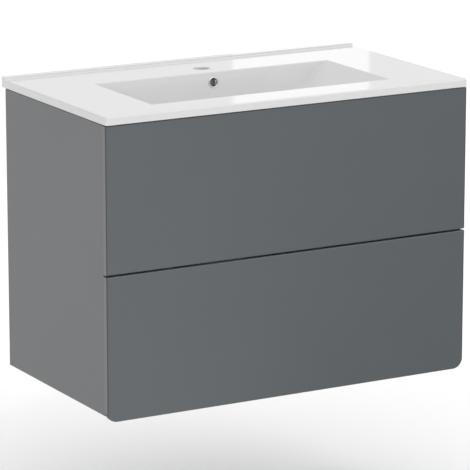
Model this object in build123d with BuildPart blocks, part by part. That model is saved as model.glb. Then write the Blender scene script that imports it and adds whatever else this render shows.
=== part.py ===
"""Wall-hung bathroom vanity unit: ceramic basin top, carcass and two push-to-open drawers.

Frame: X to the right, Y towards the wall, Z up, in millimetres. The origin is on the wall plane,
midway along the line of bolts that hold the wall rail.
"""
import os

from build123d import *

# ---------------------------------------------------------------- driving dimensions
WIDTH = 800.0            # basin top and drawer fronts
CARCASS_WIDTH = 798.0
PANEL = 16.0             # carcass boards
CARCASS_REAR_Y = -18.0   # the carcass hangs this far off the wall
CARCASS_BOTTOM_Z = -489.0
CARCASS_TOP_Z = 73.0
FRONT_RAIL_HEIGHT = 60.0
BACK_RAIL_HEIGHT = 90.0

FRONT_FACE_Y = -448.0    # show face of the drawer fronts
FRONT_THICK = 12.0
FRONT_CLEAR = 1.5        # gap between a drawer front and the carcass
FRONT_ROUND = 2.0        # rounding round a front's show face
FRONT_REAR_ROUND = 0.8   # rounding round its rear face
FRONT_GAP = 3.5          # gap between the two fronts
FRONT_SPLIT_Z = -214.5   # middle of that gap
FRONT_BOTTOM_Z = -500.0
FRONT_TOP_Z = 72.3
LOWER_CORNER_R = 21.0    # bottom corners of the lower front

SEALANT = 1.0            # bead between the carcass and the basin top
TOP_DEPTH = 451.0
TOP_THICK = 16.0         # at the rim
DECK_THICK = 11.0
RIM_SIDE = 20.0
RIM_FRONT = 36.0
RIM_REAR = 38.0
LIP_HEIGHT = 5.0         # raised lip along the wall
LIP_DEPTH = 18.0
LIP_FOOT_R = 3.0
TOP_FRONT_CORNER_R = 6.0
TOP_REAR_CORNER_R = 6.0
TOP_EDGE_R = 2.5
LIP_EDGE_R = 1.5
RIM_FOOT_R = 1.5         # lower outer edge
BOWL_LENGTH = 530.0      # opening in the deck
BOWL_FRONT_Y = -378.0
BOWL_REAR_Y = -138.0
BOWL_SHOULDER_X = 190.0  # where a sloping side meets the floor
BOWL_SHOULDER_DEPTH = 50.0
BOWL_DEPTH = 84.0        # at the waste
BOWL_WALL = 10.0
BOWL_SHOULDER_R = 60.0   # rounding from side to floor
BOWL_FLOOR_R = 150.0     # rounding at the lowest point
BOWL_VALLEY_R = 1.5      # rounding from floor and sides to the front and rear walls
BOWL_MOUTH_R = 2.0
BOWL_FRONT_LEAN = 0.26   # how far the front wall leans in, per mm of depth
BOWL_REAR_LEAN = 0.14
WASTE_R = 22.5
WASTE_SEAT_R = 32.0
WASTE_SEAT_DEPTH = 2.0
WASTE_BOSS_R = 36.0
TAP_HOLE_R = 16.5
TAP_HOLE_Y = -91.0
TAP_HOLE_EDGE_R = 3.0
OVERFLOW_DROP = 21.0     # overflow centre below the deck
OVERFLOW_R = 9.0
CHANNEL = 8.0            # overflow channel inside the ceramic
CHANNEL_HALF_WIDTH = 11.0
CHANNEL_SKIN = 6.0
CHANNEL_BITE = 2.0       # the channel reaches this far into the bowl's wall
RING_R = 11.5            # flange of the overflow ring
RING_THICK = 1.6
RING_EDGE_R = 1.3
RING_TUBE = 1.2          # wall of the ring's spigot
RING_SPIGOT = 8.0

BOARD = 12.0             # drawer box boards
BASE_THICK = 6.0
BASE_LIFT = 12.0         # base above the lower edge of the box
GROOVE = 6.0
BOX_LENGTH = 360.0
UPPER_BOX_Z = -200.0
UPPER_BOX_HEIGHT = 150.0
LOWER_BOX_Z = -458.0
LOWER_BOX_HEIGHT = 200.0
TRAP_HALF_WIDTH = 100.0  # cut-out round the trap, inside
TRAP_LENGTH = 240.0

RUNNER_WIDTH = 12.7      # from the side panel to the drawer side
RUNNER_HALF_HEIGHT = 22.5
RUNNER_LENGTH = 350.0
RUNNER_STEEL = 1.2
RUNNER_SET_BACK = 4.0    # runner's front end behind the carcass front
BALL_R = 1.6
CAGE_STEEL = 0.6
CAGE_LENGTH = 90.0
CAGE_SET_BACK = 94.0     # cage behind the runner's front end, drawer closed
UPPER_RUNNER_Z = -160.0
LOWER_RUNNER_Z = -400.0

RAIL_LENGTH = 762.0      # wall rail
RAIL_STEEL = 2.0
RAIL_STAND_OFF = 10.0
RAIL_HOLE_R = 4.0
RAIL_HOLES_X = (-340.0, -150.0, 150.0, 340.0)

LATCH_WIDTH = 10.0
LATCH_HEIGHT = 14.0
LATCH_LENGTH = 60.0
PLUNGER_R = 3.0
PLUNGER_LENGTH = 30.0
PLUNGER_GAP = 0.3        # plunger tip to the back of the drawer front
RUNNING_FIT = 0.05
UPPER_LATCH_Z = -95.0
LOWER_LATCH_Z = -330.0

# ---------------------------------------------------------------- derived places
UNDERSIDE_Z = CARCASS_TOP_Z + SEALANT
DECK_Z = UNDERSIDE_Z + TOP_THICK
INNER_X = CARCASS_WIDTH / 2 - PANEL
BOX_X = INNER_X - RUNNER_WIDTH
BOX_INNER_X = BOX_X - BOARD
FRONT_REAR_Y = FRONT_FACE_Y + FRONT_THICK
CARCASS_FRONT_Y = FRONT_REAR_Y + FRONT_CLEAR
BOX_REAR_Y = FRONT_REAR_Y + BOX_LENGTH
TRAP_FRONT_Y = BOX_REAR_Y - TRAP_LENGTH
RUNNER_FRONT_Y = CARCASS_FRONT_Y + RUNNER_SET_BACK
WASTE_Y = (BOWL_FRONT_Y + BOWL_REAR_Y) / 2
BOSS_BOTTOM_Z = DECK_Z - BOWL_DEPTH - BOWL_WALL - CHANNEL - CHANNEL_SKIN
OVERFLOW_AXIS = Vector(0, -1, BOWL_REAR_LEAN).normalized()
OVERFLOW_CENTRE = (0, BOWL_REAR_Y - BOWL_REAR_LEAN * OVERFLOW_DROP, DECK_Z - OVERFLOW_DROP)
SIDES = {"left": -1, "right": 1}
UP = (0, 0, 1)
DOWN = (0, 0, -1)
TO_WALL = (0, 1, 0)
TO_ROOM = (0, -1, 0)
NEAR = 0.01              # two heights or places count as the same within this
MARGIN = 1.0             # slack used when picking edges by their place

os.makedirs("parts", exist_ok=True)


def save(part, name):
    """Label a finished piece and write it as its own STEP file."""
    part.label = name
    export_step(part, f"parts/{name}.step")


def block(xs, ys, zs, mode=Mode.ADD):
    """A box between two corners, each axis given as a pair in any order."""
    with Locations(((xs[0] + xs[1]) / 2, (ys[0] + ys[1]) / 2, (zs[0] + zs[1]) / 2)):
        Box(abs(xs[1] - xs[0]), abs(ys[1] - ys[0]), abs(zs[1] - zs[0]), mode=mode)


def bar(start, axis, radius, length, mode=Mode.ADD):
    """A round bar, or with Mode.SUBTRACT a round hole, from start along axis."""
    with Locations(Plane(origin=start, z_dir=axis)):
        Cylinder(radius, length, align=(Align.CENTER, Align.CENTER, Align.MIN), mode=mode)


def countersunk(start, axis, head_radius, head_length, radius, length, mode=Mode.ADD):
    """A countersunk screw, or its hole, with its flat head at start and its tip along axis."""
    with Locations(Plane(origin=start, z_dir=axis)):
        Cone(head_radius, radius, head_length, align=(Align.CENTER, Align.CENTER, Align.MIN), mode=mode)
        Cylinder(radius, length, align=(Align.CENTER, Align.CENTER, Align.MIN), mode=mode)


# ---------------------------------------------------------------- basin top
def bowl_form(grow):
    """The bowl as a solid: sides that slope to a shallow valley floor, between two steep walls."""
    rise = 30.0
    reach = 100.0
    side_run = (BOWL_LENGTH / 2 - BOWL_SHOULDER_X) / BOWL_SHOULDER_DEPTH
    mouth_x = BOWL_LENGTH / 2 + rise * side_run
    with BuildPart() as form:
        with BuildSketch(Plane.XZ) as long_section:
            with BuildLine():
                Polyline(
                    (-mouth_x, DECK_Z + rise),
                    (-BOWL_SHOULDER_X, DECK_Z - BOWL_SHOULDER_DEPTH),
                    (0, DECK_Z - BOWL_DEPTH),
                    (BOWL_SHOULDER_X, DECK_Z - BOWL_SHOULDER_DEPTH),
                    (mouth_x, DECK_Z + rise),
                    close=True,
                )
            make_face()
            fillet(long_section.vertices().group_by(Axis.Y)[1], radius=BOWL_SHOULDER_R)
            fillet(long_section.vertices().sort_by(Axis.Y)[0], radius=BOWL_FLOOR_R)
            if grow:
                offset(amount=grow, kind=Kind.INTERSECTION)
        extrude(amount=TOP_DEPTH, both=True)
        with BuildSketch(Plane.YZ):
            with BuildLine():
                Polyline(
                    (BOWL_FRONT_Y - BOWL_FRONT_LEAN * rise, DECK_Z + rise),
                    (BOWL_REAR_Y + BOWL_REAR_LEAN * rise, DECK_Z + rise),
                    (BOWL_REAR_Y - BOWL_REAR_LEAN * reach, DECK_Z - reach),
                    (BOWL_FRONT_Y + BOWL_FRONT_LEAN * reach, DECK_Z - reach),
                    close=True,
                )
            make_face()
            if grow:
                offset(amount=grow, kind=Kind.INTERSECTION)
        extrude(amount=WIDTH, both=True, mode=Mode.INTERSECT)
        wall_faces = form.faces().filter_by(lambda face: abs(face.normal_at().Y) > 0.5)
        valleys = wall_faces.edges().filter_by(
            lambda edge: edge.center().Z < DECK_Z + rise - MARGIN and abs(edge.tangent_at(0.5).Y) < 0.9
        )
        fillet(valleys, radius=BOWL_VALLEY_R + grow)
    return form.part


def channel_section(grow):
    """Side view of the overflow channel, from behind the overflow hole down to the waste."""
    top = OVERFLOW_DROP - CHANNEL
    floor = BOWL_DEPTH + BOWL_WALL
    top_y = BOWL_REAR_Y - BOWL_REAR_LEAN * top + BOWL_WALL - CHANNEL_BITE
    floor_y = BOWL_REAR_Y - BOWL_REAR_LEAN * floor + BOWL_WALL - CHANNEL_BITE
    with BuildSketch(Plane.YZ) as section:
        with BuildLine():
            Polyline(
                (top_y, DECK_Z - top),
                (top_y + CHANNEL, DECK_Z - top),
                (floor_y + CHANNEL, DECK_Z - floor - CHANNEL),
                (WASTE_Y, DECK_Z - floor - CHANNEL),
                (WASTE_Y, DECK_Z - floor),
                (floor_y, DECK_Z - floor),
                close=True,
            )
        make_face()
        if grow:
            offset(amount=grow, kind=Kind.INTERSECTION)
    return section.sketch


bowl_cavity = bowl_form(0)
bowl_shell = bowl_form(BOWL_WALL)

with BuildPart() as basin_top:
    block((-WIDTH / 2, WIDTH / 2), (-TOP_DEPTH, 0), (UNDERSIDE_Z, DECK_Z + LIP_HEIGHT))
    fillet(basin_top.edges().filter_by(Axis.Z).group_by(Axis.Y)[0], radius=TOP_FRONT_CORNER_R)
    fillet(basin_top.edges().filter_by(Axis.Z).group_by(Axis.Y)[-1], radius=TOP_REAR_CORNER_R)
    block((-WIDTH, WIDTH), (-WIDTH, -LIP_DEPTH), (DECK_Z, DECK_Z + 2 * LIP_HEIGHT), mode=Mode.SUBTRACT)
    lip_foot = basin_top.edges().filter_by(Axis.X).filter_by(
        lambda edge: abs(edge.center().Z - DECK_Z) < NEAR and edge.center().Y > -LIP_DEPTH - MARGIN
    )
    fillet(lip_foot, radius=LIP_FOOT_R)
    deck_rim = basin_top.faces().filter_by(Axis.Z).sort_by(Axis.Z)[-2].edges().filter_by(
        lambda edge: edge.center().Y < -LIP_DEPTH - LIP_FOOT_R - MARGIN
    )
    lip_rim = basin_top.faces().sort_by(Axis.Z)[-1].edges()
    fillet(deck_rim, radius=TOP_EDGE_R)
    fillet(lip_rim, radius=LIP_EDGE_R)
    fillet(basin_top.faces().sort_by(Axis.Z)[0].edges(), radius=RIM_FOOT_R)
    block(
        (-WIDTH / 2 + RIM_SIDE, WIDTH / 2 - RIM_SIDE),
        (-TOP_DEPTH + RIM_FRONT, -RIM_REAR),
        (UNDERSIDE_Z, DECK_Z - DECK_THICK),
        mode=Mode.SUBTRACT,
    )
    add(bowl_shell.split(Plane.XY.offset(DECK_Z - DECK_THICK / 2), keep=Keep.BOTTOM))
    bar((0, WASTE_Y, BOSS_BOTTOM_Z), UP, WASTE_BOSS_R, BOWL_WALL + CHANNEL + CHANNEL_SKIN)
    extrude(channel_section(CHANNEL_SKIN), amount=CHANNEL_HALF_WIDTH + CHANNEL_SKIN, both=True)
    add(bowl_cavity, mode=Mode.SUBTRACT)
    extrude(channel_section(0), amount=CHANNEL_HALF_WIDTH, both=True, mode=Mode.SUBTRACT)
    bar(OVERFLOW_CENTRE, -OVERFLOW_AXIS, OVERFLOW_R, BOWL_WALL + CHANNEL / 2, mode=Mode.SUBTRACT)
    bar((0, WASTE_Y, BOSS_BOTTOM_Z), UP, WASTE_R, BOWL_DEPTH, mode=Mode.SUBTRACT)
    seat_z = DECK_Z - BOWL_DEPTH - WASTE_SEAT_DEPTH
    bar((0, WASTE_Y, seat_z), UP, WASTE_SEAT_R, BOWL_DEPTH, mode=Mode.SUBTRACT)
    bar((0, TAP_HOLE_Y, UNDERSIDE_Z), UP, TAP_HOLE_R, TOP_THICK, mode=Mode.SUBTRACT)
    bowl_mouth = basin_top.edges().filter_by(
        lambda edge: abs(edge.center().Z - DECK_Z) < NEAR
        and BOWL_FRONT_Y - MARGIN < edge.center().Y < BOWL_REAR_Y + MARGIN
        and abs(edge.center().X) < BOWL_LENGTH / 2 + MARGIN
    )
    fillet(bowl_mouth, radius=BOWL_MOUTH_R)
    tap_rim = basin_top.edges().filter_by(GeomType.CIRCLE).filter_by(
        lambda edge: abs(edge.center().Z - DECK_Z) < NEAR and abs(edge.arc_center.Y - TAP_HOLE_Y) < MARGIN
    )
    fillet(tap_rim, radius=TAP_HOLE_EDGE_R)
save(basin_top.part, "basin_top")

with BuildPart() as overflow_ring:
    ring_face = Vector(*OVERFLOW_CENTRE) + OVERFLOW_AXIS * RING_THICK
    bar(ring_face, -OVERFLOW_AXIS, RING_R, RING_THICK)
    fillet(overflow_ring.edges().filter_by(GeomType.CIRCLE).sort_by(Axis.Y)[0], radius=RING_EDGE_R)
    bar(OVERFLOW_CENTRE, -OVERFLOW_AXIS, OVERFLOW_R, RING_SPIGOT)
    bar(ring_face, -OVERFLOW_AXIS, OVERFLOW_R - RING_TUBE, RING_THICK + RING_SPIGOT, mode=Mode.SUBTRACT)
save(overflow_ring.part, "overflow_ring")

BEAD_WIDTH = 10.0
BEAD_INSET = 3.0
with BuildPart() as sealant_bead:
    bead_x = CARCASS_WIDTH / 2 - BEAD_INSET
    bead_front_y = CARCASS_FRONT_Y + BEAD_INSET
    bead_rear_y = CARCASS_REAR_Y - BEAD_INSET
    block((-bead_x, bead_x), (bead_front_y, bead_rear_y), (CARCASS_TOP_Z, UNDERSIDE_Z))
    block(
        (-bead_x + BEAD_WIDTH, bead_x - BEAD_WIDTH),
        (bead_front_y + BEAD_WIDTH, bead_rear_y - BEAD_WIDTH),
        (CARCASS_TOP_Z, UNDERSIDE_Z),
        mode=Mode.SUBTRACT,
    )
save(sealant_bead.part, "sealant_bead")

# ---------------------------------------------------------------- carcass joints
CAM_R = 7.5
CAM_DEPTH = 12.5
CAM_INSET = 34.0         # cam axis from the board's end
BOLT_HOLE_R = 4.0
BOLT_THREAD_R = 2.5
BOLT_THREAD_LENGTH = 11.0
DOWEL_R = 4.0
DOWEL_IN_SIDE = 12.0
DOWEL_LENGTH = 30.0
CROSS_REACH = 4.0        # cross recess in a cam
CROSS_WIDTH = 1.6
CROSS_DEPTH = 1.8
SHANK_R = 3.0            # cam bolt: shank, then neck, then head
SHANK_LENGTH = 20.0
NECK_R = 2.2
NECK_LENGTH = 8.0
BOLT_HEAD_R = 3.2
BOLT_HEAD_LENGTH = 4.0
DOWEL_CHAMFER = 1.0
BOTTOM_CAM_FRONT = 40.0  # cams and dowels, from the nearest edge of their board
BOTTOM_CAM_REAR = 52.0
BOTTOM_DOWEL_FRONT = 80.0
BOTTOM_DOWEL_REAR = 92.0
FRONT_RAIL_CAM = 18.0
FRONT_RAIL_DOWEL = 42.0
BACK_RAIL_CAM = 27.0
BACK_RAIL_DOWEL = 9.0
LOW_RAIL_CAM = 63.0
LOW_RAIL_DOWEL = 27.0

BOTTOM_MID_Z = CARCASS_BOTTOM_Z + PANEL / 2
FRONT_RAIL_MID_Y = CARCASS_FRONT_Y + PANEL / 2
BACK_RAIL_MID_Y = CARCASS_REAR_Y - PANEL / 2
BACK_RAIL_BOTTOM_Z = CARCASS_BOTTOM_Z + PANEL
BACK_RAIL_TOP_Z = CARCASS_TOP_Z - BACK_RAIL_HEIGHT

# Each cam: its Y and Z, and the way its pocket opens.
CAMS = [
    (CARCASS_FRONT_Y + BOTTOM_CAM_FRONT, BOTTOM_MID_Z, DOWN),
    (CARCASS_REAR_Y - BOTTOM_CAM_REAR, BOTTOM_MID_Z, DOWN),
    (FRONT_RAIL_MID_Y, CARCASS_TOP_Z - FRONT_RAIL_CAM, TO_WALL),
    (BACK_RAIL_MID_Y, BACK_RAIL_TOP_Z + BACK_RAIL_CAM, TO_ROOM),
    (BACK_RAIL_MID_Y, BACK_RAIL_BOTTOM_Z + LOW_RAIL_CAM, TO_ROOM),
]
# Each dowel: its Y and Z.
DOWELS = [
    (CARCASS_FRONT_Y + BOTTOM_DOWEL_FRONT, BOTTOM_MID_Z),
    (CARCASS_REAR_Y - BOTTOM_DOWEL_REAR, BOTTOM_MID_Z),
    (FRONT_RAIL_MID_Y, CARCASS_TOP_Z - FRONT_RAIL_DOWEL),
    (BACK_RAIL_MID_Y, BACK_RAIL_TOP_Z + BACK_RAIL_DOWEL),
    (BACK_RAIL_MID_Y, BACK_RAIL_BOTTOM_Z + LOW_RAIL_DOWEL),
]


def cut_carcass_joints():
    """Cut every cam pocket, bolt hole and dowel hole out of the board being built."""
    for side in SIDES.values():
        inward = (-side, 0, 0)
        outward = (side, 0, 0)
        for y, z, opening in CAMS:
            cam_x = side * (INNER_X - CAM_INSET)
            floor = Vector(cam_x, y, z) - Vector(opening) * (CAM_DEPTH - PANEL / 2)
            bar(floor, opening, CAM_R, CAM_DEPTH, mode=Mode.SUBTRACT)
            bar((side * INNER_X, y, z), inward, BOLT_HOLE_R, CAM_INSET, mode=Mode.SUBTRACT)
            bar((side * INNER_X, y, z), outward, BOLT_THREAD_R, BOLT_THREAD_LENGTH, mode=Mode.SUBTRACT)
        for y, z in DOWELS:
            outer_end = (side * (INNER_X + DOWEL_IN_SIDE), y, z)
            bar(outer_end, inward, DOWEL_R, DOWEL_LENGTH, mode=Mode.SUBTRACT)


with BuildPart() as cam:
    bar((0, 0, PANEL / 2 - CAM_DEPTH), UP, CAM_R, CAM_DEPTH)
    block(
        (-BOLT_HOLE_R, CAM_R),
        (-BOLT_HOLE_R, BOLT_HOLE_R),
        (-BOLT_HOLE_R, BOLT_HOLE_R),
        mode=Mode.SUBTRACT,
    )
    cross_zs = (PANEL / 2 - CROSS_DEPTH, PANEL / 2)
    block((-CROSS_REACH, CROSS_REACH), (-CROSS_WIDTH / 2, CROSS_WIDTH / 2), cross_zs, mode=Mode.SUBTRACT)
    block((-CROSS_WIDTH / 2, CROSS_WIDTH / 2), (-CROSS_REACH, CROSS_REACH), cross_zs, mode=Mode.SUBTRACT)

with BuildPart() as cam_bolt:
    bar((0, 0, -BOLT_THREAD_LENGTH), UP, BOLT_THREAD_R, BOLT_THREAD_LENGTH)
    bar((0, 0, 0), UP, SHANK_R, SHANK_LENGTH)
    bar((0, 0, SHANK_LENGTH), UP, NECK_R, NECK_LENGTH)
    bar((0, 0, SHANK_LENGTH + NECK_LENGTH), UP, BOLT_HEAD_R, BOLT_HEAD_LENGTH)

with BuildPart() as dowel:
    bar((0, 0, 0), UP, DOWEL_R, DOWEL_LENGTH)
    chamfer(dowel.edges(), length=DOWEL_CHAMFER)

cam_planes = []
bolt_planes = []
dowel_planes = []
for side in SIDES.values():
    for y, z, opening in CAMS:
        cam_centre = (side * (INNER_X - CAM_INSET), y, z)
        cam_planes.append(Plane(origin=cam_centre, x_dir=(side, 0, 0), z_dir=opening))
        bolt_planes.append(Plane(origin=(side * INNER_X, y, z), z_dir=(-side, 0, 0)))
    for y, z in DOWELS:
        dowel_planes.append(Plane(origin=(side * (INNER_X + DOWEL_IN_SIDE), y, z), z_dir=(-side, 0, 0)))

with BuildPart() as cam_locks:
    with Locations(*cam_planes):
        add(cam.part)
save(cam_locks.part, "cam_locks")

with BuildPart() as cam_bolts:
    with Locations(*bolt_planes):
        add(cam_bolt.part)
save(cam_bolts.part, "cam_bolts")

with BuildPart() as wood_dowels:
    with Locations(*dowel_planes):
        add(dowel.part)
save(wood_dowels.part, "wood_dowels")

# ---------------------------------------------------------------- carcass boards
HANGER_WIDTH = 18.0
HANGER_FRONT_Y = -80.0
HANGER_REAR_Y = -20.0
HANGER_ZS = (22.0, 71.0)
HANGER_WALL = 2.5
HANGER_PLUG_R = 5.0
HANGER_PLUG_LENGTH = 10.0
HANGER_PLUGS_Y = (-68.0, -36.0)
HANGER_MID_Z = sum(HANGER_ZS) / 2
HANGER_NOTCH = 22.0      # corner cut out of the back rail for each hanger
HANGER_NOTCH_DROP = 2.0
PANEL_EDGE_R = 0.5

RUNNER_SCREW_R = 2.0
RUNNER_SCREW_HEAD_R = 3.2
RUNNER_SCREW_LENGTH = 11.0
RUNNER_SCREW_STEPS = (25.0, 185.0, 325.0)
RUNNER_SCREWS_Y = [RUNNER_FRONT_Y + step for step in RUNNER_SCREW_STEPS]

for name, side in SIDES.items():
    with BuildPart() as side_panel:
        block(
            (side * INNER_X, side * CARCASS_WIDTH / 2),
            (CARCASS_FRONT_Y, CARCASS_REAR_Y),
            (CARCASS_BOTTOM_Z, CARCASS_TOP_Z),
        )
        outer_edges = side_panel.faces().sort_by(Axis.X)[0 if side < 0 else -1].edges()
        fillet(outer_edges, radius=PANEL_EDGE_R)
        cut_carcass_joints()
        for runner_z in (UPPER_RUNNER_Z, LOWER_RUNNER_Z):
            for y in RUNNER_SCREWS_Y:
                pilot = (side * INNER_X, y, runner_z)
                bar(pilot, (side, 0, 0), RUNNER_SCREW_R, RUNNER_SCREW_LENGTH, Mode.SUBTRACT)
        for y in HANGER_PLUGS_Y:
            plug = (side * INNER_X, y, HANGER_MID_Z)
            bar(plug, (side, 0, 0), HANGER_PLUG_R, HANGER_PLUG_LENGTH, Mode.SUBTRACT)
    save(side_panel.part, f"side_panel_{name}")

with BuildPart() as bottom_panel:
    block(
        (-INNER_X, INNER_X),
        (CARCASS_FRONT_Y, CARCASS_REAR_Y),
        (CARCASS_BOTTOM_Z, BACK_RAIL_BOTTOM_Z),
    )
    cut_carcass_joints()
save(bottom_panel.part, "bottom_panel")

with BuildPart() as front_rail:
    block(
        (-INNER_X, INNER_X),
        (CARCASS_FRONT_Y, CARCASS_FRONT_Y + PANEL),
        (CARCASS_TOP_Z - FRONT_RAIL_HEIGHT, CARCASS_TOP_Z),
    )
    cut_carcass_joints()
save(front_rail.part, "front_rail")

with BuildPart() as back_rail_top:
    back_rail_ys = (CARCASS_REAR_Y - PANEL, CARCASS_REAR_Y)
    block((-INNER_X, INNER_X), back_rail_ys, (BACK_RAIL_TOP_Z, CARCASS_TOP_Z))
    for side in SIDES.values():
        block(
            (side * (INNER_X - HANGER_NOTCH), side * INNER_X),
            back_rail_ys,
            (HANGER_ZS[0] - HANGER_NOTCH_DROP, CARCASS_TOP_Z),
            mode=Mode.SUBTRACT,
        )
    cut_carcass_joints()
save(back_rail_top.part, "back_rail_top")

with BuildPart() as back_rail_bottom:
    block(
        (-INNER_X, INNER_X),
        back_rail_ys,
        (BACK_RAIL_BOTTOM_Z, BACK_RAIL_BOTTOM_Z + BACK_RAIL_HEIGHT),
    )
    cut_carcass_joints()
save(back_rail_bottom.part, "back_rail_bottom")

# ---------------------------------------------------------------- hanging on the wall
RAIL_TOP_Z = 42.0
RAIL_JOG_Z = 20.0
RAIL_FOOT_Z = -20.0
HOOK_THICK = 3.0
HOOK_MID_X = INNER_X - HANGER_WIDTH / 2
HOOK_FRONT_Y = -63.5
HANGER_SCREWS_Z = (36.0, 58.0)
HANGER_SCREW_R = 3.0
HANGER_SCREW_LENGTH = 16.0
HANGER_HEAD_R = 4.5
HANGER_HEAD_LENGTH = 2.0
SLOT_LENGTH = 7.0        # screwdriver slot in a hanger screw's head
SLOT_WIDTH = 1.2
SLOT_DEPTH = 1.0
HOUSING_FRONT_WALL = 4.0
HOUSING_FRONT_R = 3.0
COVER_DEPTH = 7.0        # cap over a hanger's screws
COVER_WALL = 2.0
COVER_LAND = 3.0
COVER_EDGE_R = 2.0
BUMPER_X = 330.0
BUMPER_LIFT = 45.0
BUMPER_R = 11.0
BUMPER_EDGE_R = 3.0
# Outline of a hook from the side: its body in the housing, then the nose that drops
# behind the wall rail's upstand.
HOOK_OUTLINE = [
    (HOOK_FRONT_Y, 30),
    (HOOK_FRONT_Y, 62),
    (-26, 62),
    (-14, 56),
    (-4, 56),
    (-4, 28),
    (-7.5, 28),
    (-7.5, RAIL_TOP_Z),
    (-14, RAIL_TOP_Z),
    (-26, 30),
]

with BuildPart() as wall_rail:
    with BuildSketch(Plane.YZ) as rail_section:
        with BuildLine():
            Polyline(
                (0, RAIL_FOOT_Z),
                (0, RAIL_JOG_Z),
                (-RAIL_STAND_OFF + RAIL_STEEL, RAIL_JOG_Z),
                (-RAIL_STAND_OFF + RAIL_STEEL, RAIL_TOP_Z),
                (-RAIL_STAND_OFF, RAIL_TOP_Z),
                (-RAIL_STAND_OFF, RAIL_JOG_Z - RAIL_STEEL),
                (-RAIL_STEEL, RAIL_JOG_Z - RAIL_STEEL),
                (-RAIL_STEEL, RAIL_FOOT_Z),
                close=True,
            )
        make_face()
    extrude(amount=RAIL_LENGTH / 2, both=True)
    for x in RAIL_HOLES_X:
        bar((x, -RAIL_STEEL, 0), TO_WALL, RAIL_HOLE_R, RAIL_STEEL, mode=Mode.SUBTRACT)
save(wall_rail.part, "wall_rail")

with BuildPart() as hanger_screws:
    for side in SIDES.values():
        for z in HANGER_SCREWS_Z:
            seat = (side * HOOK_MID_X, HANGER_FRONT_Y, z)
            head_face_y = HANGER_FRONT_Y - HANGER_HEAD_LENGTH
            bar(seat, TO_ROOM, HANGER_HEAD_R, HANGER_HEAD_LENGTH)
            bar(seat, TO_WALL, HANGER_SCREW_R, HANGER_SCREW_LENGTH)
            block(
                (side * HOOK_MID_X - SLOT_LENGTH / 2, side * HOOK_MID_X + SLOT_LENGTH / 2),
                (head_face_y, head_face_y + SLOT_DEPTH),
                (z - SLOT_WIDTH / 2, z + SLOT_WIDTH / 2),
                mode=Mode.SUBTRACT,
            )
save(hanger_screws.part, "hanger_screws")

for name, side in SIDES.items():
    housing_xs = (side * (INNER_X - HANGER_WIDTH), side * INNER_X)
    cavity_xs = (housing_xs[0] + side * HANGER_WALL, housing_xs[1] - side * HANGER_WALL)
    with BuildPart() as housing:
        block(housing_xs, (HANGER_FRONT_Y, HANGER_REAR_Y), HANGER_ZS)
        fillet(housing.edges().filter_by(Axis.X).group_by(Axis.Y)[0], radius=HOUSING_FRONT_R)
        block(
            cavity_xs,
            (HANGER_FRONT_Y + HOUSING_FRONT_WALL, HANGER_REAR_Y),
            (HANGER_ZS[0] + HANGER_WALL, HANGER_ZS[1] - HANGER_WALL),
            mode=Mode.SUBTRACT,
        )
        for z in HANGER_SCREWS_Z:
            seat = (side * HOOK_MID_X, HANGER_FRONT_Y, z)
            bar(seat, TO_WALL, HANGER_SCREW_R, HOUSING_FRONT_WALL + MARGIN, mode=Mode.SUBTRACT)
        for y in HANGER_PLUGS_Y:
            bar((side * INNER_X, y, HANGER_MID_Z), (side, 0, 0), HANGER_PLUG_R, HANGER_PLUG_LENGTH)
    save(housing.part, f"hanger_housing_{name}")

    with BuildPart() as hook:
        with BuildSketch(Plane.YZ.offset(side * HOOK_MID_X)):
            with BuildLine():
                Polyline(*HOOK_OUTLINE, close=True)
            make_face()
        extrude(amount=HOOK_THICK / 2, both=True)
    save(hook.part, f"hanger_hook_{name}")

with BuildPart() as hanger_covers:
    for side in SIDES.values():
        cover_xs = (side * (INNER_X - HANGER_WIDTH), side * INNER_X)
        block(cover_xs, (HANGER_FRONT_Y - COVER_DEPTH, HANGER_FRONT_Y), HANGER_ZS)
    fillet(hanger_covers.faces().filter_by(Axis.Y).group_by(Axis.Y)[0].edges(), radius=COVER_EDGE_R)
    for side in SIDES.values():
        block(
            (side * (INNER_X - HANGER_WIDTH + COVER_WALL), side * (INNER_X - COVER_WALL)),
            (HANGER_FRONT_Y - COVER_DEPTH + COVER_WALL, HANGER_FRONT_Y),
            (HANGER_ZS[0] + COVER_LAND, HANGER_ZS[1] - COVER_LAND),
            mode=Mode.SUBTRACT,
        )
save(hanger_covers.part, "hanger_covers")

with BuildPart() as wall_bumpers:
    for side in SIDES.values():
        foot = (side * BUMPER_X, CARCASS_REAR_Y, BACK_RAIL_BOTTOM_Z + BUMPER_LIFT)
        bar(foot, TO_WALL, BUMPER_R, -CARCASS_REAR_Y)
    fillet(wall_bumpers.edges().group_by(Axis.Y)[-1], radius=BUMPER_EDGE_R)
save(wall_bumpers.part, "wall_bumpers")

# ---------------------------------------------------------------- runners
# Across a runner, u is the distance from the side panel and v the height from its middle.
MIDDLE_U = 2.6
MIDDLE_STEEL = 1.0
MIDDLE_TIP_U = 11.0
OUTER_TIP_U = 9.8
INNER_TIP_U = 5.0
OUTER_RACE_V = RUNNER_HALF_HEIGHT - RUNNER_STEEL
BALL_ROOM = 2 * BALL_R + 2 * RUNNING_FIT
MIDDLE_V = OUTER_RACE_V - BALL_ROOM
MIDDLE_RACE_V = MIDDLE_V - RUNNER_STEEL
INNER_V = MIDDLE_RACE_V - BALL_ROOM
CAGE_CLEAR = 0.4
CAGE_BALLS = 4
OUTER_CAGE_TIP_U = 8.0
OUTER_BALL_U = 5.5
INNER_CAGE_TIP_U = 10.0
INNER_BALL_U = 7.5
WEB_HOLE = 5.0           # depth of the tool that cuts a screw hole in a runner's web


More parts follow.
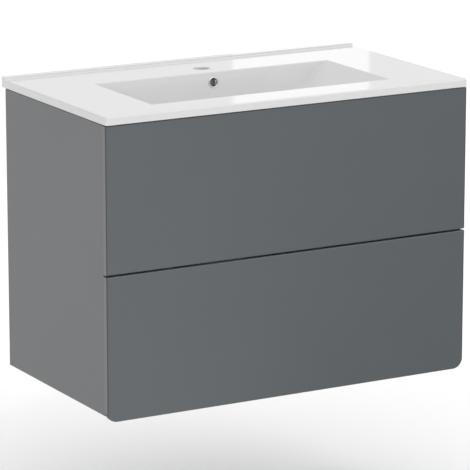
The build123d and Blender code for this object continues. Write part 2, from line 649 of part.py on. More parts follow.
def channel_bar(side, middle_z, web_us, tip_u, half_height, lip_thick):
    """A U-shaped steel bar along the runner: a web and two lips that reach to tip_u."""
    ys = (RUNNER_FRONT_Y, RUNNER_FRONT_Y + RUNNER_LENGTH)
    web_xs = [side * (INNER_X - u) for u in web_us]
    lip_xs = [side * (INNER_X - u) for u in (web_us[0], web_us[1], tip_u)]
    block(web_xs, ys, (middle_z - half_height, middle_z + half_height))
    for way in (-1, 1):
        lip_zs = (middle_z + way * (half_height - lip_thick), middle_z + way * half_height)
        block((min(lip_xs), max(lip_xs)), ys, lip_zs)


def ball_cage(side, middle_z, web_u, tip_u, ball_u, ball_v):
    """A thin steel cage that holds a row of balls above and a row below."""
    front_y = RUNNER_FRONT_Y + CAGE_SET_BACK
    ys = (front_y, front_y + CAGE_LENGTH)
    web_xs = [side * (INNER_X - u) for u in (web_u, web_u + CAGE_STEEL)]
    finger_xs = [side * (INNER_X - u) for u in (web_u, tip_u)]
    half_height = ball_v + CAGE_STEEL / 2
    block(web_xs, ys, (middle_z - half_height, middle_z + half_height))
    for way in (-1, 1):
        finger_z = middle_z + way * ball_v
        block(finger_xs, ys, (finger_z - CAGE_STEEL / 2, finger_z + CAGE_STEEL / 2))
        for index in range(CAGE_BALLS):
            ball_y = front_y + CAGE_LENGTH * (index + 0.5) / CAGE_BALLS
            with Locations((side * (INNER_X - ball_u), ball_y, finger_z)):
                Sphere(BALL_R)


def runner_screw(face, axis, length, mode):
    """A screw whose head lies flush in a runner's web, or with Mode.SUBTRACT its hole."""
    countersunk(face, axis, RUNNER_SCREW_HEAD_R, RUNNER_STEEL, RUNNER_SCREW_R, length, mode)


def make_runner(level, middle_z):
    """Cabinet, middle and drawer members on both sides of one drawer, and the ball cages."""
    for name, side in SIDES.items():
        with BuildPart() as outer:
            channel_bar(side, middle_z, (0, RUNNER_STEEL), OUTER_TIP_U, RUNNER_HALF_HEIGHT, RUNNER_STEEL)
            for y in RUNNER_SCREWS_Y:
                face = (side * (INNER_X - RUNNER_STEEL), y, middle_z)
                runner_screw(face, (side, 0, 0), WEB_HOLE, Mode.SUBTRACT)
        save(outer.part, f"{level}_runner_cabinet_{name}")

        with BuildPart() as middle:
            web = (MIDDLE_U, MIDDLE_U + MIDDLE_STEEL)
            channel_bar(side, middle_z, web, MIDDLE_TIP_U, MIDDLE_V, RUNNER_STEEL)
        save(middle.part, f"{level}_runner_middle_{name}")

        with BuildPart() as inner:
            web = (RUNNER_WIDTH - RUNNER_STEEL, RUNNER_WIDTH)
            channel_bar(side, middle_z, web, INNER_TIP_U, INNER_V, RUNNER_STEEL)
            for y in RUNNER_SCREWS_Y:
                face = (side * (BOX_X + RUNNER_STEEL), y, middle_z)
                runner_screw(face, (-side, 0, 0), WEB_HOLE, Mode.SUBTRACT)
        save(inner.part, f"{level}_runner_drawer_{name}")

    with BuildPart() as outer_cages:
        ball_v = (OUTER_RACE_V + MIDDLE_V) / 2
        for side in SIDES.values():
            web_u = RUNNER_STEEL + CAGE_CLEAR
            ball_cage(side, middle_z, web_u, OUTER_CAGE_TIP_U, OUTER_BALL_U, ball_v)
    save(outer_cages.part, f"{level}_ball_cages_cabinet")

    with BuildPart() as inner_cages:
        ball_v = (MIDDLE_RACE_V + INNER_V) / 2
        for side in SIDES.values():
            web_u = MIDDLE_U + MIDDLE_STEEL + CAGE_CLEAR
            ball_cage(side, middle_z, web_u, INNER_CAGE_TIP_U, INNER_BALL_U, ball_v)
    save(inner_cages.part, f"{level}_ball_cages_drawer")


make_runner("upper", UPPER_RUNNER_Z)
make_runner("lower", LOWER_RUNNER_Z)

with BuildPart() as runner_screws:
    for side in SIDES.values():
        for runner_z in (UPPER_RUNNER_Z, LOWER_RUNNER_Z):
            for y in RUNNER_SCREWS_Y:
                face = (side * (INNER_X - RUNNER_STEEL), y, runner_z)
                runner_screw(face, (side, 0, 0), RUNNER_STEEL + RUNNER_SCREW_LENGTH, Mode.ADD)
save(runner_screws.part, "cabinet_runner_screws")

# ---------------------------------------------------------------- push-to-open latches
LATCH_SET_BACK = 1.0
LATCH_EDGE_R = 1.5
PLUNGER_TIP_R = 1.0
LATCH_FRONT_Y = CARCASS_FRONT_Y + LATCH_SET_BACK
PLUNGER_TIP_Y = FRONT_REAR_Y + PLUNGER_GAP
LATCH_MID_X = INNER_X - LATCH_WIDTH / 2
LATCH_BORE = 38.0

with BuildPart() as latch_housings:
    for side in SIDES.values():
        for z in (UPPER_LATCH_Z, LOWER_LATCH_Z):
            block(
                (side * (INNER_X - LATCH_WIDTH), side * INNER_X),
                (LATCH_FRONT_Y, LATCH_FRONT_Y + LATCH_LENGTH),
                (z - LATCH_HEIGHT / 2, z + LATCH_HEIGHT / 2),
            )
    fillet(latch_housings.edges().filter_by(Axis.Y), radius=LATCH_EDGE_R)
    for side in SIDES.values():
        for z in (UPPER_LATCH_Z, LOWER_LATCH_Z):
            start = (side * LATCH_MID_X, LATCH_FRONT_Y, z)
            bar(start, TO_WALL, PLUNGER_R + RUNNING_FIT, LATCH_BORE, mode=Mode.SUBTRACT)
save(latch_housings.part, "latch_housings")

for level, z in {"upper": UPPER_LATCH_Z, "lower": LOWER_LATCH_Z}.items():
    for name, side in SIDES.items():
        with BuildPart() as plunger:
            bar((side * LATCH_MID_X, PLUNGER_TIP_Y, z), TO_WALL, PLUNGER_R, PLUNGER_LENGTH)
            fillet(plunger.edges().group_by(Axis.Y)[0], radius=PLUNGER_TIP_R)
        save(plunger.part, f"{level}_latch_plunger_{name}")

# ---------------------------------------------------------------- drawers
SCREW_R = 2.0
SCREW_HEAD_R = 4.0
SCREW_HEAD_LENGTH = 2.5
BOX_SCREW_LENGTH = 34.0
FRONT_SCREW_LENGTH = BOARD + 8.0
RUNNER_SCREW_SHORT = 2.0  # a runner screw stops this far short of the box's inside
UPPER_BOX_SCREWS_Z = (-130.0, -75.0)
UPPER_FRONT_SCREWS_Z = (-160.0, -75.0)
LOWER_BOX_SCREWS_Z = (-430.0, -285.0)
LOWER_FRONT_SCREWS_Z = (-420.0, -290.0)
FRONT_SCREWS_X = (-300.0, -150.0, 150.0, 300.0)
BOX_YS = (FRONT_REAR_Y, BOX_REAR_Y)


def box_screw_spots(screw_zs):
    """Heads and directions of the screws through the drawer sides into its front and back."""
    spots = []
    for side in SIDES.values():
        for y in (FRONT_REAR_Y + BOARD / 2, BOX_REAR_Y - BOARD / 2):
            for z in screw_zs:
                spots.append(((side * BOX_X, y, z), (-side, 0, 0), BOX_SCREW_LENGTH))
    return spots


def front_screw_spots(screw_zs):
    """Heads and directions of the screws that hold the drawer front on its box."""
    spots = []
    for x in FRONT_SCREWS_X:
        for z in screw_zs:
            spots.append(((x, FRONT_REAR_Y + BOARD, z), TO_ROOM, FRONT_SCREW_LENGTH))
    return spots


def runner_screw_spots(runner_z):
    """Heads and directions of the screws that hold the drawer members on the box sides."""
    spots = []
    for side in SIDES.values():
        for y in RUNNER_SCREWS_Y:
            spots.append(((side * (BOX_X + RUNNER_STEEL), y, runner_z), (-side, 0, 0)))
    return spots


def drawer_screws(wood_spots, runner_spots, mode):
    """All the screws of one drawer, or with Mode.SUBTRACT their holes."""
    for head, axis, length in wood_spots:
        countersunk(head, axis, SCREW_HEAD_R, SCREW_HEAD_LENGTH, SCREW_R, length, mode)
    for head, axis in runner_spots:
        runner_screw(head, axis, RUNNER_STEEL + BOARD - RUNNER_SCREW_SHORT, mode)


def make_front(level, bottom_z, top_z, corner_radius):
    """An overlay drawer front, softly rounded round its show face."""
    with BuildPart() as front:
        block((-WIDTH / 2, WIDTH / 2), (FRONT_FACE_Y, FRONT_REAR_Y), (bottom_z, top_z))
        if corner_radius:
            fillet(front.edges().filter_by(Axis.Y).group_by(Axis.Z)[0], radius=corner_radius)
        fillet(front.faces().sort_by(Axis.Y)[0].edges(), radius=FRONT_ROUND)
        fillet(front.faces().sort_by(Axis.Y)[-1].edges(), radius=FRONT_REAR_ROUND)
        drawer_screws(*screws[level], Mode.SUBTRACT)
    save(front.part, f"{level}_drawer_front")


def make_board(name, level, xs, ys, zs, base):
    """One board of a drawer box, grooved for the base and drilled for its screws."""
    with BuildPart() as board:
        block(xs, ys, zs)
        add(base, mode=Mode.SUBTRACT)
        drawer_screws(*screws[level], Mode.SUBTRACT)
    save(board.part, name)


def make_box(level, bottom_z, height, base):
    """The sides and inner front of one drawer box."""
    zs = (bottom_z, bottom_z + height)
    for name, side in SIDES.items():
        side_xs = (side * BOX_INNER_X, side * BOX_X)
        make_board(f"{level}_drawer_side_{name}", level, side_xs, BOX_YS, zs, base)
    front_ys = (FRONT_REAR_Y, FRONT_REAR_Y + BOARD)
    make_board(f"{level}_drawer_inner_front", level, (-BOX_INNER_X, BOX_INNER_X), front_ys, zs, base)
    with BuildPart() as screw_group:
        drawer_screws(*screws[level], Mode.ADD)
    save(screw_group.part, f"{level}_drawer_screws")


screws = {
    "upper": (
        box_screw_spots(UPPER_BOX_SCREWS_Z) + front_screw_spots(UPPER_FRONT_SCREWS_Z),
        runner_screw_spots(UPPER_RUNNER_Z),
    ),
    "lower": (
        box_screw_spots(LOWER_BOX_SCREWS_Z) + front_screw_spots(LOWER_FRONT_SCREWS_Z),
        runner_screw_spots(LOWER_RUNNER_Z),
    ),
}
base_xs = (-BOX_INNER_X - GROOVE, BOX_INNER_X + GROOVE)
base_ys = (FRONT_REAR_Y + BOARD - GROOVE, BOX_REAR_Y - BOARD + GROOVE)

make_front("upper", FRONT_SPLIT_Z + FRONT_GAP / 2, FRONT_TOP_Z, 0)
make_front("lower", FRONT_BOTTOM_Z, FRONT_SPLIT_Z - FRONT_GAP / 2, LOWER_CORNER_R)

# lower drawer
with BuildPart() as lower_base:
    lower_base_z = LOWER_BOX_Z + BASE_LIFT
    block(base_xs, base_ys, (lower_base_z, lower_base_z + BASE_THICK))
save(lower_base.part, "lower_drawer_base")
make_box("lower", LOWER_BOX_Z, LOWER_BOX_HEIGHT, lower_base.part)
back_ys = (BOX_REAR_Y - BOARD, BOX_REAR_Y)
lower_zs = (LOWER_BOX_Z, LOWER_BOX_Z + LOWER_BOX_HEIGHT)
make_board("lower_drawer_back", "lower", (-BOX_INNER_X, BOX_INNER_X), back_ys, lower_zs, lower_base.part)

# upper drawer, cut out from the back for the trap
with BuildPart() as upper_base:
    upper_base_z = UPPER_BOX_Z + BASE_LIFT
    base_zs = (upper_base_z, upper_base_z + BASE_THICK)
    cut_out_xs = (-TRAP_HALF_WIDTH - BOARD + GROOVE, TRAP_HALF_WIDTH + BOARD - GROOVE)
    block(base_xs, base_ys, base_zs)
    block(cut_out_xs, (TRAP_FRONT_Y - BOARD + GROOVE, 0), base_zs, mode=Mode.SUBTRACT)
save(upper_base.part, "upper_drawer_base")
make_box("upper", UPPER_BOX_Z, UPPER_BOX_HEIGHT, upper_base.part)
upper_zs = (UPPER_BOX_Z, UPPER_BOX_Z + UPPER_BOX_HEIGHT)
cheek_x = TRAP_HALF_WIDTH + BOARD
for name, side in SIDES.items():
    back_xs = (side * cheek_x, side * BOX_INNER_X)
    make_board(f"upper_drawer_back_{name}", "upper", back_xs, back_ys, upper_zs, upper_base.part)
    cheek_xs = (side * TRAP_HALF_WIDTH, side * cheek_x)
    cheek_ys = (TRAP_FRONT_Y, BOX_REAR_Y)
    make_board(f"upper_trap_cheek_{name}", "upper", cheek_xs, cheek_ys, upper_zs, upper_base.part)
wall_ys = (TRAP_FRONT_Y - BOARD, TRAP_FRONT_Y)
make_board("upper_trap_wall", "upper", (-cheek_x, cheek_x), wall_ys, upper_zs, upper_base.part)
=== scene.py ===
import math

import bmesh
import bpy
from mathutils import Matrix, Vector


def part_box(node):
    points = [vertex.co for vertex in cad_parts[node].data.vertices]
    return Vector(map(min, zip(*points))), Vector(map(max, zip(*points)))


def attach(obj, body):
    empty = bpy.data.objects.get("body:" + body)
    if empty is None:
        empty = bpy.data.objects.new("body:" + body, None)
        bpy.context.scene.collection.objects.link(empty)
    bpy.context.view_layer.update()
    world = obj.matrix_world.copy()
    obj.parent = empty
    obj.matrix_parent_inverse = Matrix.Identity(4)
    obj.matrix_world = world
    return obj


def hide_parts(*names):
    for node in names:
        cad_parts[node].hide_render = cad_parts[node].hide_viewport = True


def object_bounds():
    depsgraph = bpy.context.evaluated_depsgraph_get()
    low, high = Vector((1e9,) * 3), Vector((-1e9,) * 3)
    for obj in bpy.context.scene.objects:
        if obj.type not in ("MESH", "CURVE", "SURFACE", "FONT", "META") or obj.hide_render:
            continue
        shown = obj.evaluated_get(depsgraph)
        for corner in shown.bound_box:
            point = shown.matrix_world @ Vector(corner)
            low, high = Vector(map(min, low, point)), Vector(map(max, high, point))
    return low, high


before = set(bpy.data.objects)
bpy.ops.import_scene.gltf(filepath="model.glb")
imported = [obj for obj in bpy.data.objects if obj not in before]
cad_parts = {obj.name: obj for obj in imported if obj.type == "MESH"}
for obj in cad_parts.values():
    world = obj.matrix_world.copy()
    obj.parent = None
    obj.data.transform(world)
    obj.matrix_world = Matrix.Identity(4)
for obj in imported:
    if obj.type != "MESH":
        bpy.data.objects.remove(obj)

# Studio scene of a wall-hung bathroom vanity unit. Metres, in the part's own frame:
# X to the right, Y towards the wall, Z up, the origin on the wall at the line of rail bolts.

CAD_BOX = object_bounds()
CENTRE = (CAD_BOX[0] + CAD_BOX[1]) / 2
MM = 0.001

scene = bpy.context.scene
scene.view_settings.view_transform = "Standard"

# ---------------------------------------------------------------- camera
CAMERA_YAW = 29.39       # degrees that the view turns from +Y towards +X
CAMERA_PITCH = 13.346    # degrees that it looks down
CAMERA_DISTANCE = 6.485
CAMERA_LENS = 250.0      # millimetres, as is the sensor
CAMERA_SENSOR = 36.0
CAMERA_CLIP = (0.1, 200.0)
CAMERA_AIM = CENTRE + Vector((-1.3, -5.2, -22.0)) * MM


def direction(yaw, pitch):
    """Unit vector of a look: yaw turns from +Y towards +X, pitch looks down; both in degrees."""
    y, p = math.radians(yaw), math.radians(pitch)
    return Vector((math.sin(y) * math.cos(p), math.cos(y) * math.cos(p), -math.sin(p)))


def make_camera():
    """A long lens that looks at the unit from its front left, a little from above."""
    data = bpy.data.cameras.new("camera")
    data.lens = CAMERA_LENS
    data.sensor_width = CAMERA_SENSOR
    data.clip_start, data.clip_end = CAMERA_CLIP
    camera = bpy.data.objects.new("camera", data)
    scene.collection.objects.link(camera)
    look = direction(CAMERA_YAW, CAMERA_PITCH)
    camera.location = CAMERA_AIM - look * CAMERA_DISTANCE
    camera.rotation_euler = look.to_track_quat("-Z", "Y").to_euler()
    scene.camera = camera


# ---------------------------------------------------------------- node helpers
class Tree:
    """A short way to add nodes to a node tree. An input is given a value or a socket to link from."""

    def __init__(self, node_tree):
        self.tree = node_tree

    def put(self, socket, value):
        if isinstance(value, bpy.types.NodeSocket):
            self.tree.links.new(value, socket)
        else:
            socket.default_value = value

    def add(self, kind, inputs=None, **settings):
        node = self.tree.nodes.new(kind)
        for name, value in settings.items():
            setattr(node, name, value)
        for name, value in (inputs or {}).items():
            self.put(node.inputs[name], value)
        return node

    def math(self, operation, *values):
        return self.add("ShaderNodeMath", dict(enumerate(values)), operation=operation).outputs["Value"]


class Nodes(Tree):
    """The same for a material, with the patterns that the materials here are made of."""

    # A colour mix has its two colours and its result at these places among its sockets.
    MIX_FIRST, MIX_SECOND, MIX_RESULT = 6, 7, 2

    def __init__(self, material):
        material.use_nodes = True
        super().__init__(material.node_tree)
        self.shader = self.tree.nodes["Principled BSDF"]
        self.where = self.add("ShaderNodeTexCoord").outputs["Object"]

    def noise(self, scale, detail=3.0, roughness=0.5, where=None):
        """Cloudy noise, in about as many spots to the metre as the scale."""
        inputs = {"Vector": where or self.where, "Scale": scale, "Detail": detail, "Roughness": roughness}
        return self.add("ShaderNodeTexNoise", inputs).outputs["Fac"]

    def span(self, value, low, high):
        """A 0 to 1 value spread from low to high."""
        inputs = {"Value": value, "To Min": low, "To Max": high}
        return self.add("ShaderNodeMapRange", inputs).outputs["Result"]

    def ramp(self, value, start, end):
        """A value spread from 0 at start to 1 at end."""
        inputs = {"Value": value, "From Min": start, "From Max": end}
        return self.add("ShaderNodeMapRange", inputs).outputs["Result"]

    def blend(self, factor, first, second):
        """A colour that goes from the first to the second as the factor goes from 0 to 1."""
        mix = self.add("ShaderNodeMix", {"Factor": factor}, data_type="RGBA")
        for place, colour in ((self.MIX_FIRST, first), (self.MIX_SECOND, second)):
            if isinstance(colour, tuple):
                colour = (*colour, 1.0)
            self.put(mix.inputs[place], colour)
        return mix.outputs[self.MIX_RESULT]

    def bump(self, height, distance):
        return self.add("ShaderNodeBump", {"Height": height, "Distance": distance}).outputs["Normal"]

    def set(self, **values):
        """Give the shader its values, by the names of its inputs in lower case."""
        for name, value in values.items():
            title = name.replace("_", " ").title().replace("Ior", "IOR")
            self.put(self.shader.inputs[title], value)


# ---------------------------------------------------------------- studio
FLOOR_DROP = 0.30        # the unit hangs this far above the floor
FLOOR_RADIUS = 40.0
FLOOR_SEGMENTS = 96
FLOOR_Z = CAD_BOX[0].z - FLOOR_DROP

# The studio's walls are its world: an even base level with a wide glow towards some directions.
BASE_LEVEL = 0.52
GLOW_FALLOFF = 2.0
SEEN_LEVEL = 1.0         # how bright the studio looks where nothing stands in front of it
# Each glow: the yaw and pitch of the way towards it, as for a look, and its strength.
GLOWS = ((170.0, -50.0, 1.30), (29.0, -12.0, 0.45), (-80.0, -15.0, 0.14))

# A tall light panel behind the unit, mirrored in the glazed deck. It is placed along the level look
# through the unit's centre, to the right of it and above it, and faces the unit.
PANEL_DISTANCE = 3.6
PANEL_ASIDE = 0.205
PANEL_LIFT = 1.25
PANEL_SIZE = (0.42, 1.6)
PANEL_POWER = 0.86

# A dark card on the floor before the fronts. They mirror it, more of it towards their right end.
FLOOR_FLAG_EDGE = (1.20, -2.65)      # X and Y of a point on its left edge
FLOOR_FLAG_SIZE = (5.0, 28.0)
FLOOR_FLAG_FORWARD = 10.5            # from that point to its middle, along its length
FLOOR_FLAG_LIFT = 0.01

# A small dark card beside it, mirrored in the left half of the ceramic's front edge.
RIM_FLAG_PLACE = (1.76, -4.37)       # X and Y of its middle
RIM_FLAG_SIZE = (0.9, 0.45)
RIM_FLAG_LIFT = 0.02

# An upright dark card behind the camera and above it, mirrored in what faces the viewer.
CAMERA_FLAG_DISTANCE = 8.5
CAMERA_FLAG_LIFT = 2.2
CAMERA_FLAG_SIZE = (7.0, 4.5)


def make_floor():
    """A pale round floor, wide enough to pass for endless."""
    mesh = bpy.data.meshes.new("floor")
    bm = bmesh.new()
    bmesh.ops.create_circle(bm, cap_ends=True, segments=FLOOR_SEGMENTS, radius=FLOOR_RADIUS)
    bmesh.ops.translate(bm, verts=bm.verts, vec=(CENTRE.x, CENTRE.y, FLOOR_Z))
    bm.to_mesh(mesh)
    bm.free()
    floor = bpy.data.objects.new("floor", mesh)
    scene.collection.objects.link(floor)
    floor.data.materials.append(floor_material())


def make_panel(place, facing):
    """The soft light panel: it lights and is mirrored, but isn't seen."""
    data = bpy.data.lights.new("rear_panel", "AREA")
    data.shape = "RECTANGLE"
    data.size, data.size_y = PANEL_SIZE
    data.energy = PANEL_POWER
    light = bpy.data.objects.new("rear_panel", data)
    scene.collection.objects.link(light)
    light.location = place
    light.rotation_euler = facing.to_track_quat("-Z", "Y").to_euler()
    light.visible_camera = False


def make_flag(name, centre, across, up, width, height):
    """A dark card that only shades the reflections: it is not seen and casts no shadow.

    It is as wide as width along the unit vector across, and as high as height along up.
    """
    mesh = bpy.data.meshes.new(name)
    bm = bmesh.new()
    bmesh.ops.create_grid(bm, x_segments=1, y_segments=1, size=0.5)    # one metre square
    for vert in bm.verts:
        vert.co = centre + across * vert.co.x * width + up * vert.co.y * height
    bm.to_mesh(mesh)
    bm.free()
    flag = bpy.data.objects.new(name, mesh)
    scene.collection.objects.link(flag)
    flag.data.materials.append(flag_material())
    flag.visible_camera = False
    flag.visible_diffuse = False
    flag.visible_transmission = False
    flag.visible_shadow = False


def make_world():
    """A white studio: an even base and a wide soft glow round each of the glow directions."""
    world = bpy.data.worlds.new("studio")
    world.use_nodes = True
    tree = Tree(world.node_tree)
    where = tree.add("ShaderNodeTexCoord").outputs["Generated"]
    level = BASE_LEVEL
    for yaw, pitch, strength in GLOWS:
        towards = tree.add(
            "ShaderNodeVectorMath", {0: where, 1: direction(yaw, pitch)}, operation="DOT_PRODUCT"
        ).outputs["Value"]
        lit_side = tree.math("MAXIMUM", towards, 0.0)
        falloff = tree.math("POWER", lit_side, GLOW_FALLOFF)
        level = tree.math("MULTIPLY_ADD", falloff, strength, level)
    seen = tree.add("ShaderNodeLightPath").outputs["Is Camera Ray"]
    shown = tree.add("ShaderNodeMix", {"Factor": seen, "A": level, "B": SEEN_LEVEL}).outputs["Result"]
    tree.put(world.node_tree.nodes["Background"].inputs["Strength"], shown)
    tree.put(world.node_tree.nodes["Background"].inputs["Color"], (1.0, 1.0, 1.0, 1.0))
    scene.world = world


def make_flags():
    """The dark cards on the floor and behind the camera."""
    look = direction(CAMERA_YAW, 0.0)
    # A card on the floor that the fronts mirror lies along the look's mirror image in them.
    mirrored = Vector((look.x, -look.y, 0.0))
    aside = Vector((look.y, look.x, 0.0))
    edge = Vector((*FLOOR_FLAG_EDGE, FLOOR_Z + FLOOR_FLAG_LIFT))
    middle = edge + aside * FLOOR_FLAG_SIZE[0] / 2 + mirrored * FLOOR_FLAG_FORWARD
    make_flag("flag_floor", middle, aside, mirrored, *FLOOR_FLAG_SIZE)
    rim_place = Vector((*RIM_FLAG_PLACE, FLOOR_Z + RIM_FLAG_LIFT))
    make_flag("flag_rim", rim_place, Vector((1, 0, 0)), Vector((0, 1, 0)), *RIM_FLAG_SIZE)
    across = Vector((look.y, -look.x, 0.0))
    behind_camera = CENTRE - look * CAMERA_FLAG_DISTANCE + Vector((0, 0, CAMERA_FLAG_LIFT))
    make_flag("flag_camera", behind_camera, across, Vector((0, 0, 1)), *CAMERA_FLAG_SIZE)


def make_lights():
    """The white studio, the panel behind the unit and the cards."""
    make_world()
    look = direction(CAMERA_YAW, 0.0)
    across = Vector((look.y, -look.x, 0.0))
    panel_place = CENTRE + look * PANEL_DISTANCE + across * PANEL_ASIDE + Vector((0, 0, PANEL_LIFT))
    make_panel(panel_place, -look)
    make_flags()


# ---------------------------------------------------------------- materials
FOIL = (0.086, 0.097, 0.104)
BOARD_TONE = (0.136, 0.139, 0.143)
DRAWER_TONE = (0.40, 0.40, 0.40)
MATT_IOR = 1.5
MATT_SPREAD = (0.97, 1.03)           # darkest and lightest cloud of a matt colour, as factors
METAL_SPREAD = (0.93, 1.05)
FRONT_HALF_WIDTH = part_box("upper_drawer_front")[1].x
# Painted bands towards the ends of a front, painted shade on the rounded ends and painted light on the
# flat ends: where each begins and where it is full, from the end.
ROUND_END_SHADE_BAND = (3.0 * MM, 1.9 * MM)
FLAT_END_LIGHT_BAND = (0.6 * MM, 0.2 * MM)
ROUND_END_SHADE_TONE = 0.52               # painted shade on the rounded ends: the foil's colour darkened by this factor


def tint(colour, factor):
    """The colour made darker or lighter by a factor."""
    return tuple(channel * factor for channel in colour)


def clouded(nodes, cloud, colour, spread):
    """A colour that a cloudy pattern varies from its darkest to its lightest factor."""
    darkest, lightest = spread
    return nodes.blend(cloud, tint(colour, darkest), tint(colour, lightest))


def backdrop_material(name, scale, detail, dark, light):
    """A dull even finish for the floor and the cards."""
    material = bpy.data.materials.new(name)
    nodes = Nodes(material)
    cloud = nodes.noise(scale=scale, detail=detail)
    nodes.set(base_color=nodes.blend(cloud, (dark,) * 3, (light,) * 3), roughness=0.9)
    return material


def floor_material():
    return backdrop_material("floor", scale=1.2, detail=4.0, dark=0.955, light=0.97)


def flag_material():
    return backdrop_material("flag", scale=2.0, detail=3.0, dark=0.03, light=0.05)


def ceramic():
    """White glaze: a high gloss over very slightly uneven china."""
    material = bpy.data.materials.new("ceramic")
    nodes = Nodes(material)
    cloud = nodes.noise(scale=6.0, detail=4.0)
    speck = nodes.noise(scale=900.0, detail=2.0)
    waves = nodes.noise(scale=22.0, detail=2.0)
    nodes.set(
        base_color=nodes.blend(cloud, (0.618, 0.620, 0.620), (0.636, 0.638, 0.637)),
        roughness=nodes.span(speck, low=0.05, high=0.075),
        normal=nodes.bump(waves, distance=0.06 * MM),
        ior=1.52,
    )
    return material


def matt_face(nodes, colour, roughness, grain, depth):
    """Give a matt surface its fine grain, and return its slightly uneven colour."""
    cloud = nodes.noise(scale=7.0, detail=5.0)
    fine = nodes.noise(scale=grain, detail=3.0, roughness=0.6)
    nodes.set(roughness=nodes.span(fine, *roughness), normal=nodes.bump(fine, depth), ior=MATT_IOR)
    return clouded(nodes, cloud, colour, MATT_SPREAD)


def matt_coat(name, colour, roughness, grain, depth):
    """Melamine, plastic, silicone or rubber: matt, with a fine even grain in gloss and surface."""
    material = bpy.data.materials.new(name)
    nodes = Nodes(material)
    nodes.set(base_color=matt_face(nodes, colour, roughness, grain, depth))
    return material


def front_foil():
    """Matt foil wrapped round the fronts, with painted shade on their rounded ends and painted light on
    their flat ends.
    """
    material = bpy.data.materials.new("front_foil")
    nodes = Nodes(material)
    face = matt_face(nodes, FOIL, roughness=(0.31, 0.37), grain=2200.0, depth=0.01 * MM)
    place = nodes.add("ShaderNodeSeparateXYZ", {"Vector": nodes.where})
    aside = nodes.math("ABSOLUTE", place.outputs["X"])
    # Painted shade: the foil's colour is darkened over the rounded ends of a front.
    round_end_shade = nodes.ramp(aside, *(FRONT_HALF_WIDTH - distance for distance in ROUND_END_SHADE_BAND))
    # Painted light: the flat ends of a front take the side panels' lighter tone instead of the foil's.
    flat_end_light = nodes.ramp(aside, *(FRONT_HALF_WIDTH - distance for distance in FLAT_END_LIGHT_BAND))
    rounded = nodes.blend(round_end_shade, face, tint(FOIL, ROUND_END_SHADE_TONE))
    nodes.set(base_color=nodes.blend(flat_end_light, rounded, BOARD_TONE))
    return material


def metal(name, colour, roughness):
    """Plated or bare metal, a little cloudy in its tone and its gloss."""
    material = bpy.data.materials.new(name)
    nodes = Nodes(material)
    cloud = nodes.noise(scale=60.0, detail=5.0)
    fine = nodes.noise(scale=700.0, detail=2.0)
    nodes.set(
        base_color=clouded(nodes, cloud, colour, METAL_SPREAD),
        metallic=1.0,
        roughness=nodes.span(cloud, *roughness),
        normal=nodes.bump(fine, distance=0.01 * MM),
    )
    return material


def wood():
    """Beech, its grain drawn out along X."""
    material = bpy.data.materials.new("dowel_wood")
    nodes = Nodes(material)
    stretched = nodes.add("ShaderNodeMapping", {"Vector": nodes.where, "Scale": (12.0, 160.0, 160.0)})
    grain = nodes.noise(scale=4.0, detail=6.0, where=stretched.outputs["Vector"])
    nodes.set(
        base_color=nodes.blend(grain, (0.46, 0.29, 0.15), (0.68, 0.49, 0.30)),
        roughness=0.65,
        normal=nodes.bump(grain, distance=0.04 * MM),
    )
    return material


def make_materials():
    """The finished material of each of the record's slots, by the slot's name."""
    board = {"grain": 1500.0, "depth": 0.02 * MM}
    moulded = {"grain": 800.0, "depth": 0.03 * MM}
    return {
        "ceramic": ceramic(),
        "chrome": metal("chrome", (0.68, 0.68, 0.69), (0.05, 0.10)),
        "front_foil": front_foil(),
        "carcass_board": matt_coat("carcass_board", BOARD_TONE, (0.44, 0.54), **board),
        "drawer_board": matt_coat("drawer_board", DRAWER_TONE, (0.5, 0.6), **board),
        "zinc_steel": metal("zinc_steel", (0.62, 0.63, 0.65), (0.28, 0.42)),
        "dowel_wood": wood(),
        "grey_plastic": matt_coat("grey_plastic", (0.32, 0.33, 0.34), (0.42, 0.55), **moulded),
        "white_plastic": matt_coat("white_plastic", (0.80, 0.80, 0.79), (0.40, 0.50), **moulded),
        "silicone": matt_coat("silicone", (0.75, 0.75, 0.74), (0.25, 0.35), grain=60.0, depth=0.1 * MM),
        "bumper_rubber": matt_coat(
            "bumper_rubber", (0.05, 0.05, 0.055), (0.7, 0.8), grain=900.0, depth=0.03 * MM
        ),
    }


def dress_nodes(materials):
    """Put the finished material on every CAD node, by the name of its slot."""
    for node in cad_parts.values():
        for slot in node.material_slots:
            slot_name = slot.material.name.split(".")[0]
            slot.material = materials[slot_name]


# ---------------------------------------------------------------- pieces
# Where the axis of the overflow ring comes out of the bowl's back wall, and the way it points there.
RING_CENTRE = Vector((0.0, -140.94, 69.0)) * MM
RING_AXIS = Vector((0.0, -1.0, 0.14)).normalized()
# The ring in mm, from its axis and from the bowl's wall: a rolled flange on the wall, a mouth
# that narrows to a neck, and a barrel round it.
RING_FLANGE_RADIUS = 11.45
RING_FLANGE_HEIGHT = 1.57
RING_MOUTH_RADIUS = 8.2
RING_NECK_RADIUS = 6.0
RING_NECK_DEPTH = 6.2
RING_BARREL_RADIUS = 8.95
RING_DEPTH = 8.0
RING_END_CHAMFER = 0.3
RING_FLANGE_STEPS = 16
RING_MOUTH_STEPS = 12
RING_STEPS = 96
WELD_DISTANCE = 0.001 * MM


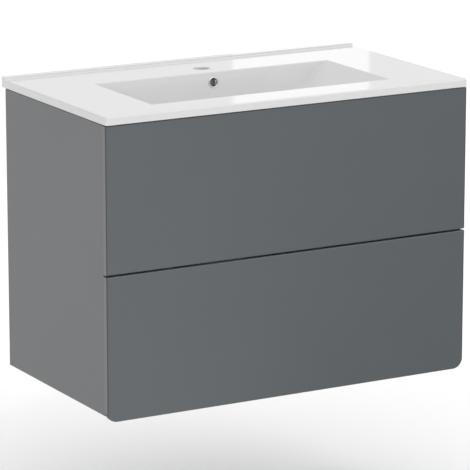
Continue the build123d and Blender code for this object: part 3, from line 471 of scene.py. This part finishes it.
def ring_section():
    """Half section of the ring: pairs of distance from its axis and height above the bowl's wall."""
    middle = (RING_FLANGE_RADIUS + RING_MOUTH_RADIUS) / 2
    reach = (RING_FLANGE_RADIUS - RING_MOUTH_RADIUS) / 2
    points = []
    for step in range(RING_FLANGE_STEPS + 1):
        turn = math.pi * step / RING_FLANGE_STEPS
        points.append((middle + reach * math.cos(turn), RING_FLANGE_HEIGHT * math.sin(turn)))
    narrowing = RING_MOUTH_RADIUS - RING_NECK_RADIUS
    for step in range(1, RING_MOUTH_STEPS + 1):
        part = step / RING_MOUTH_STEPS
        still_wide = math.cos(part * math.pi / 2) ** 2
        points.append((RING_NECK_RADIUS + narrowing * still_wide, -RING_NECK_DEPTH * part))
    points += [
        (RING_NECK_RADIUS, RING_END_CHAMFER - RING_DEPTH),
        (RING_NECK_RADIUS + RING_END_CHAMFER, -RING_DEPTH),
        (RING_BARREL_RADIUS - RING_END_CHAMFER, -RING_DEPTH),
        (RING_BARREL_RADIUS, RING_END_CHAMFER - RING_DEPTH),
        (RING_BARREL_RADIUS, 0.0),
    ]
    return points


def make_overflow_ring(material):
    """The overflow ring, turned from its section and set in the bowl's wall in place of the CAD node."""
    bm = bmesh.new()
    loop = [bm.verts.new((radius * MM, 0.0, height * MM)) for radius, height in ring_section()]
    edges = [bm.edges.new((loop[i - 1], loop[i])) for i in range(len(loop))]
    bmesh.ops.spin(
        bm, geom=loop + edges, cent=(0, 0, 0), axis=(0, 0, 1), angle=2 * math.pi,
        steps=RING_STEPS, use_merge=True,
    )
    bmesh.ops.remove_doubles(bm, verts=bm.verts, dist=WELD_DISTANCE)
    bmesh.ops.recalc_face_normals(bm, faces=bm.faces)
    turn = RING_AXIS.to_track_quat("Z", "Y").to_matrix().to_4x4()
    bmesh.ops.transform(bm, matrix=Matrix.Translation(RING_CENTRE) @ turn, verts=bm.verts)
    for face in bm.faces:
        face.smooth = True
    mesh = bpy.data.meshes.new("overflow_ring_turned")
    bm.to_mesh(mesh)
    bm.free()
    ring = bpy.data.objects.new("overflow_ring_turned", mesh)
    scene.collection.objects.link(ring)
    mesh.materials.append(material)
    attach(ring, "cabinet")
    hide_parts("overflow_ring")


make_camera()
make_floor()
make_lights()
finishes = make_materials()
dress_nodes(finishes)
make_overflow_ring(finishes["chrome"])
